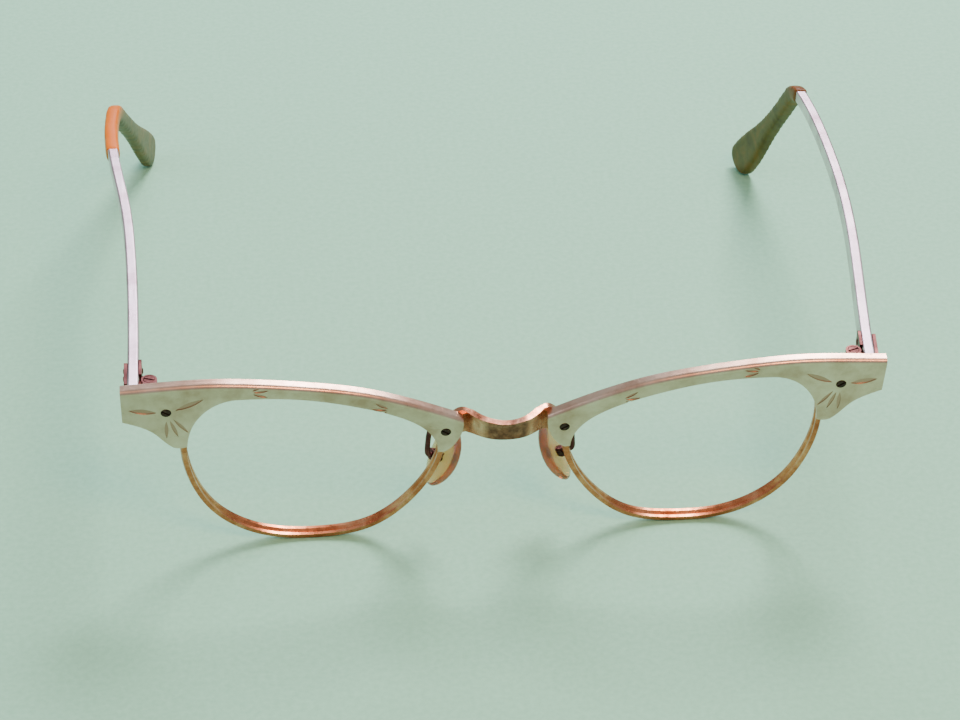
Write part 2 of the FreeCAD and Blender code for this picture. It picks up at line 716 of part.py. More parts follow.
def opened(shape, side):
    # turned about the hinge to where this temple stands when it is open
    turned = shape.copy()
    turned.rotate(hinge_axis(0), V(0, 0, 1), -TEMPLE_SPREAD[side])
    return turned


def behind_brow(bar, lift):
    front = tilted(box(0, 3 * HINGE_X, -40, BROW_THICK + BUTT_CLEARANCE, -60, 40))
    front.translate(V(0, 0, lift))
    return bar.cut(front)


def tip_side(view):
    lead = view.lead
    h = BEND_HEIGHT / 2 + SLEEVE_WALL
    wide = PADDLE_WIDTH / 2
    end = view.hook_length()

    def edge(way):
        points = [view.on_hook(0, way * h)]
        for share, grown in PADDLE_GROWTH:
            reach = h + (wide - h) * grown
            points.append(view.on_hook(end * share, way * reach))
        points.append(view.on_hook(end, way * wide))
        return points
    outer = edge(1)
    inner = edge(-1)
    cap = Part.Arc(outer[-1], view.on_hook(end + wide, 0), inner[-1])
    return Part.Wire([
        line(view.before_bend(lead, h), view.before_bend(0, h)),
        view.bend_arc(h), curve(outer).toShape(), cap.toShape(),
        curve(list(reversed(inner))).toShape(), view.bend_arc(-h),
        line(view.before_bend(0, -h), view.before_bend(lead, -h)),
        line(view.before_bend(lead, -h), view.before_bend(lead, h)),
    ])


def temple_tip(view, bar):
    side = plate(tip_side(view), V(4 * HINGE_X, 0, 0))
    thin = TEMPLE_THICK / 2 + SLEEVE_WALL
    thick = PADDLE_THICK / 2
    neck = view.corner.y
    full = view.corner.y + PADDLE_FULL * view.hook_run()

    def half_thick(y):
        share = min(max((y - neck) / (full - neck), 0), 1)
        return thin + (thick - thin) * share * share * (3 - 2 * share)
    band = plan_band(view, half_thick, 0, 3 * TEMPLE_REACH, -20, 3 * EYE_HEIGHT)
    sleeve = side.common(band)
    return sleeve.cut(bar)


# ---- nose pads

class PadFrame:
    # long axis downwards, wide axis to the back, off axis away from the nose
    def __init__(self, lift):
        splay = math.radians(PAD_SPLAY)
        flare = math.radians(PAD_FLARE)
        self.wide = V(math.sin(flare), math.cos(flare), 0)
        down = V(math.sin(splay), 0, -math.cos(splay))
        self.long = (down - self.wide * down.dot(self.wide)).normalize()
        self.off = self.wide.cross(self.long) * -1
        if self.off.x < 0:
            self.off = self.off * -1
        self.centre = V(PAD_OUT, PAD_BACK, lift - PAD_DROP)

    def at(self, down, back, off):
        return self.centre + self.long * down + self.wide * back + self.off * off

    def block(self, down, back, off0, off1):
        a, b, c, d = (self.at(-down, -back, off0), self.at(down, -back, off0),
                      self.at(down, back, off0), self.at(-down, back, off0))
        return plate(polygon([a, b, c, d]), self.off * (off1 - off0))


def nose_pad(frame):
    half_long = PAD_LENGTH / 2
    half_wide = PAD_WIDTH / 2
    outline = [(1.0, 0.1), (0.72, 0.72), (0.0, 1.0), (-0.75, 0.72),
               (-1.0, -0.05), (-0.7, -0.8), (0.05, -1.0), (0.78, -0.66)]
    loop = [frame.at(a * half_long, b * half_wide, -PAD_THICK / 2)
            for a, b in outline]
    wire = Part.Wire([curve(loop, closed=True).toShape()])
    pad = plate(wire, frame.off * PAD_THICK)
    pad = pad.makeFillet(PAD_THICK * PAD_ROUND_SHARE, pad.Edges[:])
    return pad.cut(pad_lug(frame, plain=True))


def pad_lug(frame, plain=False):
    body = frame.block(LUG_HALF, LUG_WIDTH / 2, LUG_SUNK, PIVOT_OFF)
    eye = rod(LUG_HALF, frame.at(0, -LUG_WIDTH / 2, PIVOT_OFF),
              frame.at(0, LUG_WIDTH / 2, PIVOT_OFF))
    body = body.fuse(eye)
    if plain:
        return body
    bore = rod(PAD_PIN / 2 + PIN_CLEARANCE, frame.at(0, -3, PIVOT_OFF),
               frame.at(0, 3, PIVOT_OFF))
    return body.cut(bore).removeSplitter()


def cheek_out():
    return LUG_WIDTH / 2 + CHEEK_CLEARANCE + CHEEK_WALL


def pad_box(frame):
    gap = LUG_WIDTH / 2 + CHEEK_CLEARANCE
    low = PAD_THICK / 2 + BOX_CLEARANCE
    floor = PIVOT_OFF + LUG_HALF + CHEEK_CLEARANCE
    body = frame.block(LUG_HALF + CHEEK_CLEARANCE, cheek_out(), low,
                       floor + CHEEK_WALL)
    body = body.cut(frame.block(2 * LUG_HALF, gap, low - 1, floor))
    bore = rod(PAD_PIN / 2, frame.at(0, -3, PIVOT_OFF), frame.at(0, 3, PIVOT_OFF))
    return body.cut(bore)


def pad_pin(frame):
    out = cheek_out()
    body = rod(PAD_PIN / 2, frame.at(0, -out, PIVOT_OFF),
               frame.at(0, out, PIVOT_OFF))
    head = rod(PAD_PIN_HEAD / 2, frame.at(0, -out - PAD_PIN / 2, PIVOT_OFF),
               frame.at(0, -out, PIVOT_OFF))
    return body.fuse(head)


def pad_arm(frame, lift):
    solder = flat(INNER_X - RIM_WALL, ARM_DROP, RIM_MID + 0.6)
    solder = tilted(Part.Vertex(solder)).Point + V(0, 0, lift)
    floor = PIVOT_OFF + LUG_HALF + CHEEK_CLEARANCE + CHEEK_WALL
    seat = frame.at(0, 0, floor)
    points = [
        solder, solder + V(0.2, 1.4, 0.9), solder + V(0.9, 2.6, 1.4),
        solder + V(1.7, 3.5, 0.2), seat + frame.off * 0.9 + V(-0.1, 0.1, 1.4),
        seat + frame.off * 0.5, seat,
    ]
    path = Part.Wire([curve(points).toShape()])
    start = path.Edges[0].tangentAt(path.Edges[0].FirstParameter)
    ring = Part.Wire([Part.Circle(points[0], start, ARM_WIRE / 2).toShape()])
    wire = path.makePipeShell([ring], True, True)
    foot = Part.makeSphere(SOLDER_BALL / 2, solder)
    rim = tilted(lens_prism(RIM_WALL, RIM_SET_BACK, RIM_SET_BACK + RIM_DEPTH))
    rim.translate(V(0, 0, lift))
    return wire.fuse(foot).cut([rim, pad_box(frame)])


# ---- assembly

def mirror(shape):
    return shape.mirror(V(0, 0, 0), V(1, 0, 0))


def build():
    rim = tilted(eyewire())
    lift = -rim.optimalBoundingBox(False).ZMin
    top = lift - HINGE_DROP
    frame = PadFrame(lift)
    root_z = top - 1.5 * KNUCKLE_HEIGHT - KNUCKLE_GAP

    flat_made = {
        "eyewire": eyewire(),
        "brow": brow(),
        "brow_screw_temporal": brow_screw(brow_screw_places()[0]),
        "brow_screw_nasal": brow_screw(brow_screw_places()[1]),
        "endpiece": endpiece(),
        "closing_block": closing_block(),
        "closing_screw": closing_screw(),
    }
    paired = {}
    for name, shape in flat_made.items():
        stood = tilted(shape)
        stood.translate(V(0, 0, lift))
        paired[name] = stood
    paired["hinge_knuckles"] = front_knuckles(top, lift)
    paired["hinge_screw"] = hinge_screw(top)
    paired["nose_pad"] = nose_pad(frame)
    paired["pad_lug"] = pad_lug(frame)
    paired["pad_box"] = pad_box(frame)
    paired["pad_pin"] = pad_pin(frame)
    paired["pad_arm"] = pad_arm(frame, lift)

    parts = {}
    for name, shape in paired.items():
        parts[name + "_right"] = shape
        parts[name + "_left"] = mirror(shape)
    for side in ("left", "right"):
        view = SideView(root_z, side)
        bar = temple_bar(view, top)
        temple = {
            "temple_bar_": behind_brow(opened(bar, side), lift),
            "hinge_leaf_": opened(hinge_leaf(top).cut(bar), side),
            "temple_shield_": opened(shield(top).cut(bar), side),
            "temple_rivets_": opened(rivets(top), side),
            "temple_tip_": opened(temple_tip(view, bar), side),
        }
        for name, shape in temple.items():
            parts[name + side] = mirror(shape) if side == "left" else shape
    middle = tilted(bridge())
    middle.translate(V(0, 0, lift))
    parts["bridge"] = middle.cut([parts["brow_left"], parts["brow_right"]])
    for side in ("left", "right"):
        neighbours = [parts["bridge"], parts["brow_" + side]]
        parts["pad_arm_" + side] = parts["pad_arm_" + side].cut(neighbours)

    # the origin is on the table, in the middle of the footprint
    boxes = [s.optimalBoundingBox(False) for s in parts.values()]
    left, right = min(b.XMin for b in boxes), max(b.XMax for b in boxes)
    front, back = min(b.YMin for b in boxes), max(b.YMax for b in boxes)
    shift = V(-(left + right) / 2, -(front + back) / 2, 0)
    for shape in parts.values():
        shape.translate(shift)
    print("lift", round(lift, 3), "shift", round(shift.x, 4), round(shift.y, 4))
    print("hinge axis", hinge_axis(root_z) + shift)
    print("pad pivot", frame.at(0, 0, PIVOT_OFF) + shift, "axis", frame.wide)
    return parts


os.makedirs("parts", exist_ok=True)
for node, solid in build().items():
    solid.exportStep("parts/" + node + ".step")
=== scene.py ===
# %% [markdown]
# # A browline eyeglasses frame
# The frame is metal: two satin aluminium brows screwed over thin rose-gold
# eyewires, a bowed bridge between them, amber nose pads on wire arms, and two
# aluminium temples that end in amber acetate tips. The measured parts come
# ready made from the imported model. This file gives each of them its finish,
# and makes again the parts whose look is softer than a machined solid's.

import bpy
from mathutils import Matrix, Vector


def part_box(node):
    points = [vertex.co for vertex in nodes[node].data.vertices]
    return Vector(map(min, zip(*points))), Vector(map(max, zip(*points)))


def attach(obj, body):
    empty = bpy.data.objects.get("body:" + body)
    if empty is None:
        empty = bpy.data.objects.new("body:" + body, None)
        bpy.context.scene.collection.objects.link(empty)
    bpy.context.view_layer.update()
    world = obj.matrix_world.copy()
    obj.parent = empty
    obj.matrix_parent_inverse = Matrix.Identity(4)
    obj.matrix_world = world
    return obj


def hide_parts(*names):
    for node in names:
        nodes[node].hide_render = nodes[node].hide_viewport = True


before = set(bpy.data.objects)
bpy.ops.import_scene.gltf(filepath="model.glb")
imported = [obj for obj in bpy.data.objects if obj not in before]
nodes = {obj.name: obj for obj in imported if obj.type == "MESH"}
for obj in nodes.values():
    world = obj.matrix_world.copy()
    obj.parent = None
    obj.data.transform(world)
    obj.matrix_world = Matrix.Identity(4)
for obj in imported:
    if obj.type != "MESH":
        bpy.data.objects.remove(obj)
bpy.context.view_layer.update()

# %% Modules and units
import math

import bmesh
import bpy
from mathutils import Matrix, Vector

MM = 0.001
SIDES = ("left", "right")


def mm(*values):
    return Vector([v * MM for v in values])


# %% [markdown]
# ## Colour and node helpers
# Colours are written as sRGB hex, the way a colour picker gives them. Shaders
# work in linear light, so one function turns one into the other. Every
# material is a small graph of nodes, and `add` is the only helper that makes
# them: it sets what is a value and links what is a socket.

# %% Hex colour to linear light
def linear(hex_colour, alpha=1.0):
    channels = [int(hex_colour[i:i + 2], 16) / 255 for i in (1, 3, 5)]
    bent = [c / 12.92 if c <= 0.04045 else ((c + 0.055) / 1.055) ** 2.4 for c in channels]
    return (*bent, alpha)


# %% One function that adds a node
def add(tree, kind, inputs=None, **settings):
    made = tree.nodes.new(kind)
    for name, value in settings.items():
        setattr(made, name, value)
    for socket, value in (inputs or {}).items():
        if isinstance(value, bpy.types.NodeSocket):
            tree.links.new(value, made.inputs[socket])
        else:
            made.inputs[socket].default_value = value
    return made


# %% A new material with its shader, ready for textures
def start_material(name, **shader_values):
    material = bpy.data.materials.new(name)
    material.use_nodes = True
    tree = material.node_tree
    shader = tree.nodes["Principled BSDF"]
    for socket, value in shader_values.items():
        shader.inputs[socket.replace("_", " ")].default_value = value
    place = add(tree, "ShaderNodeTexCoord").outputs["Object"]
    return material, tree, shader, place


# %% A colour ramp between hex stops
def fill_ramp(ramp_node, stops):
    ramp = ramp_node.color_ramp
    while len(ramp.elements) > 1:
        ramp.elements.remove(ramp.elements[-1])
    ramp.elements[0].position, ramp.elements[0].color = stops[0][0], linear(stops[0][1])
    for position, colour in stops[1:]:
        ramp.elements.new(position).color = linear(colour)
    return ramp_node.outputs["Color"]


# %% [markdown]
# ## Satin anodised aluminium, for the brows and temples
# Aluminium is brushed along its length, then anodised, which leaves a thin
# clear skin with a faint rose tint. The eye gets a soft, stretched highlight
# from the brushing, and a slightly uneven tint where fingers have polished
# the skin. The brushing lines are about 0.05 mm apart on the real part, too
# fine to show, so they are drawn 0.25 mm apart.

# %% Anodised aluminium
BRUSH_PITCH = 0.25 * MM
BRUSH_RUN = 40 * BRUSH_PITCH
CLOUD_SIZE = 6.0 * MM
SCRATCH_SIZE = 1.4 * MM
BRUSHED_STRETCH = 0.35


def anodised_aluminium(name, light, body, shade, along):
    material, tree, shader, place = start_material(name, Metallic=1.0)
    shader.inputs["Anisotropic"].default_value = BRUSHED_STRETCH
    stretch = [1 / BRUSH_PITCH / 1000] * 3
    stretch["XYZ".index(along)] = 1 / BRUSH_RUN / 1000
    grain_place = add(tree, "ShaderNodeMapping", {"Vector": place, "Scale": stretch})
    grain = add(tree, "ShaderNodeTexNoise", {
        "Vector": grain_place.outputs["Vector"], "Scale": 1000.0, "Detail": 3.0})
    clouds = add(tree, "ShaderNodeTexNoise", {
        "Vector": place, "Scale": 1 / CLOUD_SIZE, "Detail": 5.0, "Roughness": 0.62})
    tint = add(tree, "ShaderNodeValToRGB", {"Fac": clouds.outputs["Fac"]})
    colour = fill_ramp(tint, [(0.30, shade), (0.52, body), (0.75, light)])
    shader.inputs["Roughness"].default_value = 0.3
    tree.links.new(colour, shader.inputs["Base Color"])
    scratches = add(tree, "ShaderNodeTexVoronoi", {
        "Vector": place, "Scale": 1 / SCRATCH_SIZE}, feature="DISTANCE_TO_EDGE")
    thin = add(tree, "ShaderNodeMapRange", {
        "Value": scratches.outputs["Distance"], "From Max": 0.02,
        "To Min": 0.12, "To Max": 0.0})
    rough = add(tree, "ShaderNodeMapRange", {
        "Value": grain.outputs["Fac"], "To Min": 0.22, "To Max": 0.40})
    total = add(tree, "ShaderNodeMath", {
        0: rough.outputs["Result"], 1: thin.outputs["Result"]}, operation="ADD")
    tree.links.new(total.outputs["Value"], shader.inputs["Roughness"])
    bump = add(tree, "ShaderNodeBump", {
        "Height": grain.outputs["Fac"], "Strength": 0.12, "Distance": 0.02 * MM})
    tree.links.new(bump.outputs["Normal"], shader.inputs["Normal"])
    print("made", name)
    return material


brow_aluminium = anodised_aluminium(
    "brow_anodised_aluminium", "#E8CDBD", "#D9B8A4", "#BC9480", "X")
temple_aluminium = anodised_aluminium(
    "temple_anodised_aluminium", "#EBDCE2", "#DFCAD2", "#C0A4AE", "Y")

# %% [markdown]
# ## Engraving on the brows
# A cutter takes a tenth of a millimetre out of the front of each brow, through
# the anodised skin, in leaves around the outer screw and along the lens. The
# floor of the cut is painted rose-brown, a painted reflection that stands in for
# the light the cut walls catch. The measured brow already has the cuts, so the
# finish only needs to know how deep below the front face a point lies, and
# whether it faces forward.

# %% Paint a reflection on the floor of the engraving
FRONT_TILT = math.radians(9.6)
FRONT_NORMAL = Vector((0, -math.cos(FRONT_TILT), -math.sin(FRONT_TILT)))
ENGRAVE_DEPTH = 0.12 * MM


def front_face_level():
    # how far along its normal the flat front of the brows lies
    brow_mesh = nodes["brow_right"].data
    return max(v.co.dot(FRONT_NORMAL) for v in brow_mesh.vertices)


def paint_engraving_reflection(material, colour):
    tree = material.node_tree
    shader = tree.nodes["Principled BSDF"]
    source = shader.inputs["Base Color"].links[0].from_socket
    place = add(tree, "ShaderNodeTexCoord")
    along = add(tree, "ShaderNodeVectorMath", {
        0: place.outputs["Object"], 1: tuple(FRONT_NORMAL)}, operation="DOT_PRODUCT")
    at_depth = add(tree, "ShaderNodeMath", {
        0: along.outputs["Value"], 1: front_face_level() - ENGRAVE_DEPTH,
        2: ENGRAVE_DEPTH * 0.3}, operation="COMPARE")
    facing = add(tree, "ShaderNodeVectorMath", {
        0: place.outputs["Normal"], 1: tuple(FRONT_NORMAL)}, operation="DOT_PRODUCT")
    flat = add(tree, "ShaderNodeMath", {0: facing.outputs["Value"], 1: 0.99},
               operation="GREATER_THAN")
    share = add(tree, "ShaderNodeMath", {
        0: at_depth.outputs["Value"], 1: flat.outputs["Value"]}, operation="MULTIPLY")
    # painted reflection: the forward-facing floor of the cut takes the rose-brown colour
    mix = add(tree, "ShaderNodeMix", {
        0: share.outputs["Value"], 6: source, 7: linear(colour)}, data_type="RGBA")
    tree.links.new(mix.outputs[2], shader.inputs["Base Color"])


# the rose-brown is a painted reflection of the light the cut walls catch
paint_engraving_reflection(brow_aluminium, "#B88C7C")
print("front face level in mm:", round(front_face_level() / MM, 3))

# %% [markdown]
# ## Rolled gold, for the eyewires, bridge and pad arms
# Rolled gold is a skin of gold alloy on a base metal wire, drawn through a die
# and polished. Where it is handled it thins to the copper-rich metal beneath,
# so the tint wanders from pale gold to copper within a few millimetres, with
# brown tarnish in what never gets wiped. On the bridge that is the hollow of
# the bow, about 3 mm to either side of the middle, while its ends stay bright.

# %% Rolled gold wire
WEAR_SIZE = 3.5 * MM
TARNISH_SIZE = 1.2 * MM


def near_middle(tree, place, half_width, fade):
    # 1 within half_width of the plane between the lenses, 0 past the fade
    middle_x = (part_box("brow_left")[0].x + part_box("brow_right")[1].x) / 2
    across = add(tree, "ShaderNodeSeparateXYZ", {"Vector": place}).outputs["X"]
    off = add(tree, "ShaderNodeMath", {0: across, 1: middle_x}, operation="SUBTRACT")
    away = add(tree, "ShaderNodeMath", {0: off.outputs["Value"]}, operation="ABSOLUTE")
    return add(tree, "ShaderNodeMapRange", {
        "Value": away.outputs["Value"], "From Min": half_width,
        "From Max": half_width + fade, "To Min": 1.0, "To Max": 0.0}).outputs["Result"]


def rolled_gold(name, stops, tarnish, tarnish_share, smooth, dull, hollow=None):
    material, tree, shader, place = start_material(name, Metallic=1.0)
    wear = add(tree, "ShaderNodeTexNoise", {
        "Vector": place, "Scale": 1 / WEAR_SIZE, "Detail": 4.0, "Roughness": 0.6})
    metal = fill_ramp(add(tree, "ShaderNodeValToRGB", {"Fac": wear.outputs["Fac"]}), stops)
    spots = add(tree, "ShaderNodeTexNoise", {
        "Vector": place, "Scale": 1 / TARNISH_SIZE, "Detail": 6.0, "Roughness": 0.7})
    cover = add(tree, "ShaderNodeMapRange", {
        "Value": spots.outputs["Fac"], "From Min": 0.52, "From Max": 0.72,
        "To Max": tarnish_share})
    share = cover.outputs["Result"]
    rough = add(tree, "ShaderNodeMapRange", {
        "Value": spots.outputs["Fac"], "From Min": 0.3, "From Max": 0.7,
        "To Min": smooth, "To Max": dull})
    roughness = rough.outputs["Result"]
    if hollow:
        inside = near_middle(tree, place, *hollow)
        grime = add(tree, "ShaderNodeMapRange", {
            "Value": spots.outputs["Fac"], "From Min": 0.35, "From Max": 0.6,
            "To Min": 0.45, "To Max": 0.9})
        share = add(tree, "ShaderNodeMix", {
            0: inside, 2: share, 3: grime.outputs["Result"]}).outputs[0]
        roughness = add(tree, "ShaderNodeMix", {
            0: inside, 2: roughness, 3: dull}).outputs[0]
    mix = add(tree, "ShaderNodeMix", {
        0: share, 6: metal, 7: linear(tarnish)}, data_type="RGBA")
    tree.links.new(mix.outputs[2], shader.inputs["Base Color"])
    tree.links.new(roughness, shader.inputs["Roughness"])
    bump = add(tree, "ShaderNodeBump", {
        "Height": spots.outputs["Fac"], "Strength": 0.15, "Distance": 0.03 * MM})
    tree.links.new(bump.outputs["Normal"], shader.inputs["Normal"])
    print("made", name)
    return material


wire_gold = rolled_gold(
    "rolled_gold_wire", [(0.30, "#B0603E"), (0.50, "#CC7C54"), (0.72, "#E5A178")],
    "#6B3A28", 0.5, 0.18, 0.42)
bridge_gold = rolled_gold(
    "worn_rolled_gold_bridge", [(0.30, "#A8644A"), (0.50, "#C88768"), (0.72, "#E0AE92")],
    "#5C3A30", 0.4, 0.16, 0.45, hollow=(3.0 * MM, 1.2 * MM))
hinge_gold = rolled_gold(
    "tarnished_hinge_brass", [(0.30, "#4F2F2D"), (0.50, "#663F3D"), (0.72, "#84534E")],
    "#321D1E", 0.7, 0.35, 0.6)

# %% [markdown]
# ## Blackened steel, for the screws
# Small screws are steel, blued when they are made. Skin oil and age turn the
# blue to a dull red-brown, with the bare metal showing only as specks.

# %% Blackened steel
RUST_SIZE = 0.5 * MM


def blackened_steel():
    material, tree, shader, place = start_material("blackened_steel", Metallic=0.85)
    rust = add(tree, "ShaderNodeTexNoise", {
        "Vector": place, "Scale": 1 / RUST_SIZE, "Detail": 5.0, "Roughness": 0.65})
    colour = fill_ramp(add(tree, "ShaderNodeValToRGB", {"Fac": rust.outputs["Fac"]}), [
        (0.35, "#2A1C17"), (0.55, "#43302A"), (0.75, "#6E5347")])
    tree.links.new(colour, shader.inputs["Base Color"])
    rough = add(tree, "ShaderNodeMapRange", {
        "Value": rust.outputs["Fac"], "To Min": 0.35, "To Max": 0.65})
    tree.links.new(rough.outputs["Result"], shader.inputs["Roughness"])
    bump = add(tree, "ShaderNodeBump", {
        "Height": rust.outputs["Fac"], "Strength": 0.3, "Distance": 0.02 * MM})
    tree.links.new(bump.outputs["Normal"], shader.inputs["Normal"])
    return material


screw_steel = blackened_steel()

# %% [markdown]
# ## Cellulose acetate, for the tips and the nose pads
# Acetate is cut from sheet, tumbled smooth and bent warm. It is clear amber
# when new. With age it dulls and browns where skin and hair oil reach it. So
# the paddle behind the ear has gone olive brown. The sleeve up at the bend is
# amber: on the left it is painted bright orange, painted light shining through
# the amber, and on the right it is a darker red-brown. The change follows
# height, over about 10 mm below the bend. IOR is 1.48.

# %% Aged acetate
SWIRL_SIZE = 5.0 * MM
HAZE_SIZE = 0.8 * MM


def by_height(tree, place, low, high, below, above):
    # blend from one colour to another between two heights
    height = add(tree, "ShaderNodeSeparateXYZ", {"Vector": place}).outputs["Z"]
    share = add(tree, "ShaderNodeMapRange", {
        "Value": height, "From Min": low, "From Max": high},
        interpolation_type="SMOOTHSTEP")
    mix = add(tree, "ShaderNodeMix", {
        0: share.outputs["Result"], 6: below, 7: above}, data_type="RGBA")
    return mix.outputs[2]


def aged_acetate(name, stops, clear, dull, neck=None):
    material, tree, shader, place = start_material(name, IOR=1.48)
    shader.inputs["Transmission Weight"].default_value = clear
    shader.inputs["Specular IOR Level"].default_value = 0.12 if neck else 0.5
    shader.inputs["Subsurface Weight"].default_value = 0.25
    shader.inputs["Subsurface Radius"].default_value = (1.0, 0.5, 0.2)
    shader.inputs["Subsurface Scale"].default_value = 1.5 * MM
    swirl = add(tree, "ShaderNodeTexNoise", {
        "Vector": place, "Scale": 1 / SWIRL_SIZE, "Detail": 3.0, "Distortion": 1.2})
    tint = add(tree, "ShaderNodeValToRGB", {"Fac": swirl.outputs["Fac"]})
    colour = fill_ramp(tint, stops)
    if neck:
        low, high, neck_colour_and_light = neck
        # the neck colour blended in here carries painted light on the left tip
        colour = by_height(tree, place, low, high, colour, linear(neck_colour_and_light))
    tree.links.new(colour, shader.inputs["Base Color"])
    haze = add(tree, "ShaderNodeTexNoise", {
        "Vector": place, "Scale": 1 / HAZE_SIZE, "Detail": 4.0})
    rough = add(tree, "ShaderNodeMapRange", {
        "Value": haze.outputs["Fac"], "To Min": dull * 0.7, "To Max": dull * 1.3})
    tree.links.new(rough.outputs["Result"], shader.inputs["Roughness"])
    bump = add(tree, "ShaderNodeBump", {
        "Height": haze.outputs["Fac"], "Strength": 0.04, "Distance": 0.03 * MM})
    tree.links.new(bump.outputs["Normal"], shader.inputs["Normal"])
    print("made", name)
    return material


NECK_LOW, NECK_HIGH = 29 * MM, 37 * MM
# the left neck's bright orange is painted light shining through the amber; the right neck
# is a darker red-brown
NECK_COLOUR_AND_LIGHT = {"left": "#F07C14", "right": "#6E3C1E"}


def tip_acetate_for(side):
    return aged_acetate("tip_acetate_age_and_painted_light_" + side, [
        (0.25, "#4A3C1C"), (0.5, "#5E5226"), (0.75, "#78582A")], 0.0, 0.36,
        neck=(NECK_LOW, NECK_HIGH, NECK_COLOUR_AND_LIGHT[side]))


tip_acetate = {side: tip_acetate_for(side) for side in SIDES}
# a clear piece takes its colour from the depth that light crosses, so the
# pads are nearly white at the surface and amber inside
PAD_TINT = (0.88, 0.54, 0.08)
PAD_DENSITY = 760.0


def clear_acetate(name):
    material = aged_acetate(name, [
        (0.25, "#F6E2C0"), (0.5, "#FAEBD0"), (0.75, "#FDF3E0")], 0.86, 0.16)
    tree = material.node_tree
    depth = add(tree, "ShaderNodeVolumeAbsorption", {
        "Color": (*PAD_TINT, 1.0), "Density": PAD_DENSITY})
    output = tree.nodes["Material Output"]
    tree.links.new(depth.outputs["Volume"], output.inputs["Volume"])
    return material


pad_acetate = clear_acetate("pad_yellowed_acetate")

# %% [markdown]
# ## Give every measured part its finish
# Which part is made of which metal follows the way such a frame is built, so
# a dictionary from part to material is all it takes.

# %% Assign the finishes
FINISH = {
    "brow": brow_aluminium, "temple_bar": temple_aluminium,
    "eyewire": wire_gold, "bridge": bridge_gold, "endpiece": wire_gold,
    "closing_block": wire_gold, "pad_arm": hinge_gold, "pad_box": hinge_gold,
    "pad_lug": hinge_gold, "hinge_knuckles": hinge_gold, "hinge_leaf": hinge_gold,
    "temple_shield": hinge_gold, "temple_rivets": hinge_gold,
    "closing_screw": screw_steel, "brow_screw_temporal": screw_steel,
    "brow_screw_nasal": screw_steel, "hinge_screw": hinge_gold,
    "pad_pin": screw_steel, "temple_tip": tip_acetate["left"], "nose_pad": pad_acetate,
}


def part_kind(node_name):
    for side in SIDES:
        node_name = node_name.removesuffix("_" + side)
    return node_name


for name, cad in nodes.items():
    cad.data.materials.clear()
    cad.data.materials.append(FINISH[part_kind(name)])

# %% [markdown]
# ## Temple tips, tumbled round
# A tip is a sleeve of acetate pushed over the end of the bar and bent with it.
# Tumbling in a barrel of wood chips rounds every edge. The same is done here:
# the measured sleeve and the bar inside it are fused on a fine voxel grid,
# then relaxed, which rounds the edges and leaves the flat sides flat.

# %% Make the tips
TIP_VOXEL = 0.24 * MM
TUMBLING = 60
CORE_TUCK = mm(0, 0.3, 0)


def copy_of(cad, name):
    twin = bpy.data.objects.new(name, cad.data.copy())
    bpy.context.scene.collection.objects.link(twin)
    return twin


def apply_modifiers(piece):
    bpy.context.view_layer.update()
    done = bpy.data.meshes.new_from_object(
        piece.evaluated_get(bpy.context.evaluated_depsgraph_get()))
    piece.modifiers.clear()
    piece.data = done


def core_inside(bar, tip_box):
    # the part of the bar that the sleeve hides
    low = tip_box[0]
    mesh = bmesh.new()
    mesh.from_mesh(bar.data)
    bmesh.ops.remove_doubles(mesh, verts=mesh.verts, dist=1e-6)
    mouth = low + CORE_TUCK
    geometry = mesh.verts[:] + mesh.edges[:] + mesh.faces[:]
    cut = bmesh.ops.bisect_plane(
        mesh, geom=geometry, plane_co=mouth, plane_no=(0, 1, 0), clear_inner=True)
    rim = [e for e in cut["geom_cut"] if isinstance(e, bmesh.types.BMEdge)]
    bmesh.ops.contextual_create(mesh, geom=rim)
    core = bpy.data.meshes.new("core")
    mesh.to_mesh(core)
    mesh.free()
    return core


def make_tip(side):
    node = "temple_tip_" + side
    tip = copy_of(nodes[node], "tumbled_tip_" + side)
    core = core_inside(nodes["temple_bar_" + side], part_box(node))
    mesh = bmesh.new()
    mesh.from_mesh(tip.data)
    mesh.from_mesh(core)
    mesh.to_mesh(tip.data)
    mesh.free()
    grid = tip.modifiers.new("fuse", "REMESH")
    grid.mode = "VOXEL"
    grid.voxel_size = TIP_VOXEL
    relax = tip.modifiers.new("tumble", "SMOOTH")
    relax.factor = 0.5
    relax.iterations = TUMBLING
    apply_modifiers(tip)
    tip.data.materials.clear()
    tip.data.materials.append(tip_acetate[side])
    tip.data.shade_smooth()
    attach(tip, "temple_" + side)
    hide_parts(node)
    print(tip.name, "faces:", len(tip.data.polygons))
    return tip


tips = [make_tip(side) for side in SIDES]

# %% [markdown]
# ## Nose pads, moulded with a soft edge
# A pad is moulded acetate with its metal lug set in from the outer side. Its
# outline is an egg, its faces are crowned like a pebble, and no edge is sharp.
# Rings of vertices that shrink towards each pole give that in a few lines.

# %% Make the pads
PAD_LENGTH, PAD_WIDTH, PAD_THICK = 11.8 * MM, 7.3 * MM, 1.9 * MM
PAD_SPLAY, PAD_FLARE = math.radians(30), math.radians(24)
PAD_RINGS, PAD_STEPS = 18, 56
PAD_BEND = 0.35 * MM


def pad_axes(mirror):
    wide = Vector((math.sin(PAD_FLARE), math.cos(PAD_FLARE), 0))
    down = Vector((math.sin(PAD_SPLAY), 0, -math.cos(PAD_SPLAY)))
    long = (down - wide * down.dot(wide)).normalized()
    off = long.cross(wide)
    return [Vector((mirror * a.x, a.y, a.z)) for a in (long, wide, off)]


def pad_point(turn, rise):
    # an egg seen flat, a pebble seen from its edge
    ring = math.copysign(abs(math.cos(rise)) ** 0.45, math.cos(rise))
    height = math.copysign(abs(math.sin(rise)) ** 1.15, math.sin(rise))
    along = math.cos(turn) * PAD_LENGTH / 2 * ring
    egg = 1 - 0.07 * math.cos(turn) - 0.05 * math.cos(2 * turn)
    across = math.sin(turn) * PAD_WIDTH / 2 * ring * egg
    bow = PAD_BEND * (1 - (2 * along / PAD_LENGTH) ** 2)
    return along, across, height * PAD_THICK / 2 - bow + PAD_BEND * 0.5


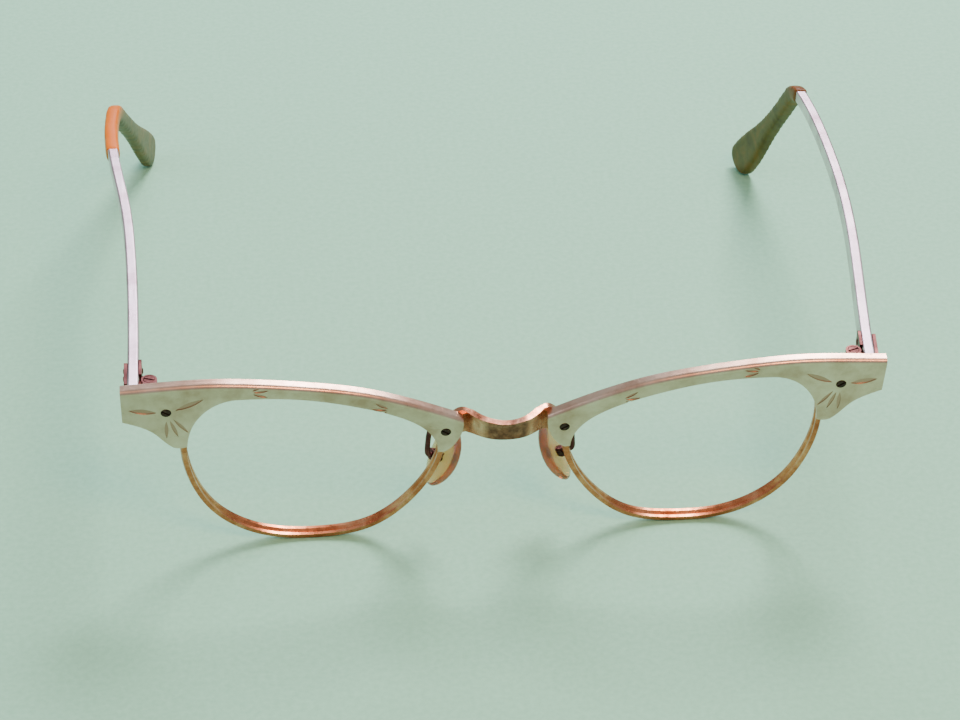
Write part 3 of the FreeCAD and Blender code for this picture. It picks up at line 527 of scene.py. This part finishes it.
def make_pad(side):
    node = "nose_pad_" + side
    low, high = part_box(node)
    centre = (low + high) / 2
    mirror = 1 if side == "right" else -1
    long, wide, off = pad_axes(mirror)
    mesh = bmesh.new()
    rings = []
    for i in range(1, PAD_RINGS):
        rise = math.pi * (i / PAD_RINGS - 0.5)
        ring = []
        for j in range(PAD_STEPS):
            a, b, c = pad_point(2 * math.pi * j / PAD_STEPS, rise)
            ring.append(mesh.verts.new(centre + long * a + wide * b + off * c))
        rings.append(ring)
    for near, far in zip(rings, rings[1:]):
        for j in range(PAD_STEPS):
            k = (j + 1) % PAD_STEPS
            mesh.faces.new((near[j], near[k], far[k], far[j]))
    for ring, rise in ((rings[0], -math.pi / 2), (rings[-1], math.pi / 2)):
        a, b, c = pad_point(0, rise)
        pole = mesh.verts.new(centre + long * a + wide * b + off * c)
        for j in range(PAD_STEPS):
            mesh.faces.new((ring[j], ring[(j + 1) % PAD_STEPS], pole))
    bmesh.ops.recalc_face_normals(mesh, faces=mesh.faces)
    data = bpy.data.meshes.new("moulded_pad_" + side)
    mesh.to_mesh(data)
    mesh.free()
    pad = bpy.data.objects.new("moulded_pad_" + side, data)
    bpy.context.scene.collection.objects.link(pad)
    data.materials.append(pad_acetate)
    data.shade_smooth()
    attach(pad, "pad_" + side)
    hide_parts(node)
    print(pad.name, "faces:", len(data.polygons))
    return pad


pads = [make_pad(side) for side in SIDES]

# %% [markdown]
# ## Floor and light
# A pale table with the faintest sea-green, which the polished metal mirrors.
# A broad soft light hangs behind and to the right, with a cooler one further
# back, so shadows fall forward and to the left. A warm lamp in front catches
# the rounded edges, and a weak light from the left fills the dark sides.

# %% The table
SPECKS_PER_METRE = 900.0
TABLE_WIDTH = 4.0


def make_table():
    material, tree, shader, place = start_material("pale_table")
    speck = add(tree, "ShaderNodeTexNoise", {
        "Vector": place, "Scale": SPECKS_PER_METRE, "Detail": 3.0})
    colour = fill_ramp(add(tree, "ShaderNodeValToRGB", {"Fac": speck.outputs["Fac"]}), [
        (0.3, "#8FD2B2"), (0.7, "#9ADBBD")])
    tree.links.new(colour, shader.inputs["Base Color"])
    shader.inputs["Roughness"].default_value = 0.75
    bpy.ops.mesh.primitive_plane_add(size=TABLE_WIDTH)
    table = bpy.context.object
    table.name = "table"
    table.data.materials.append(material)


make_table()


# %% The lights
def soft_light(name, place, aim, size, power, colour):
    lamp = bpy.data.lights.new(name, "AREA")
    lamp.shape = "DISK"
    lamp.size = size
    lamp.energy = power
    lamp.color = linear(colour)[:3]
    holder = bpy.data.objects.new(name, lamp)
    bpy.context.scene.collection.objects.link(holder)
    holder.location = place
    toward = Vector(aim) - Vector(place)
    holder.rotation_euler = toward.to_track_quat("-Z", "Y").to_euler()


soft_light("key", (0.28, 0.50, 0.78), (0, 0, 0), 0.40, 11.0, "#FFF4F2")
soft_light("back_window", (0.10, 0.95, 0.68), (0, 0, 0), 0.55, 6.0, "#F4ECFF")
soft_light("front_lamp", (0.22, -0.62, 0.80), (0, -0.06, 0.03), 0.30, 5.0, "#FFB680")
soft_light("fill_left", (-0.75, -0.20, 0.45), (0, 0, 0), 0.60, 1.6, "#EAF2FF")

world = bpy.data.worlds.new("studio")
world.use_nodes = True
world.node_tree.nodes["Background"].inputs["Color"].default_value = linear("#E4ECEA")
world.node_tree.nodes["Background"].inputs["Strength"].default_value = 0.55
bpy.context.scene.world = world

# %% [markdown]
# ## Camera
# A long lens looks down on the frame from the front, a little from its left,
# as someone would who picks it up from a table.

# %% The camera
VIEW_AZIMUTH = 6.5
VIEW_HEIGHT = 35.7
VIEW_ROLL = 1.4
VIEW_DISTANCE = 517.5 * MM
FOCAL_LENGTH = 103.7
AIM_PAST_FRONT = mm(0, 50, 20)
VIEW_ASIDE = -4.9 * MM
VIEW_LIFT = -10.9 * MM
FRONT_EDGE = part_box("brow_right")[0].y
FRONT_MIDDLE = (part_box("brow_left")[0].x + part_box("brow_right")[1].x) / 2


def make_camera():
    turn, drop = math.radians(VIEW_AZIMUTH), math.radians(VIEW_HEIGHT)
    aside = Matrix.Rotation(-turn, 3, "Z")
    right = aside @ Vector((1, 0, 0))
    up = aside @ Vector((0, math.sin(drop), math.cos(drop)))
    ahead = aside @ Vector((0, math.cos(drop), -math.sin(drop)))
    aim = aside @ AIM_PAST_FRONT + Vector((FRONT_MIDDLE, FRONT_EDGE, 0))
    aim += right * VIEW_ASIDE + up * VIEW_LIFT
    basis = Matrix((right, up, -ahead)).transposed()
    camera = bpy.data.objects.new("camera", bpy.data.cameras.new("camera"))
    bpy.context.scene.collection.objects.link(camera)
    camera.data.lens = FOCAL_LENGTH
    camera.data.sensor_width = 36.0
    camera.data.clip_start = 0.01
    camera.matrix_world = Matrix.Translation(aim - ahead * VIEW_DISTANCE) @ (
        basis @ Matrix.Rotation(math.radians(VIEW_ROLL), 3, "Z")).to_4x4()
    bpy.context.scene.camera = camera


make_camera()
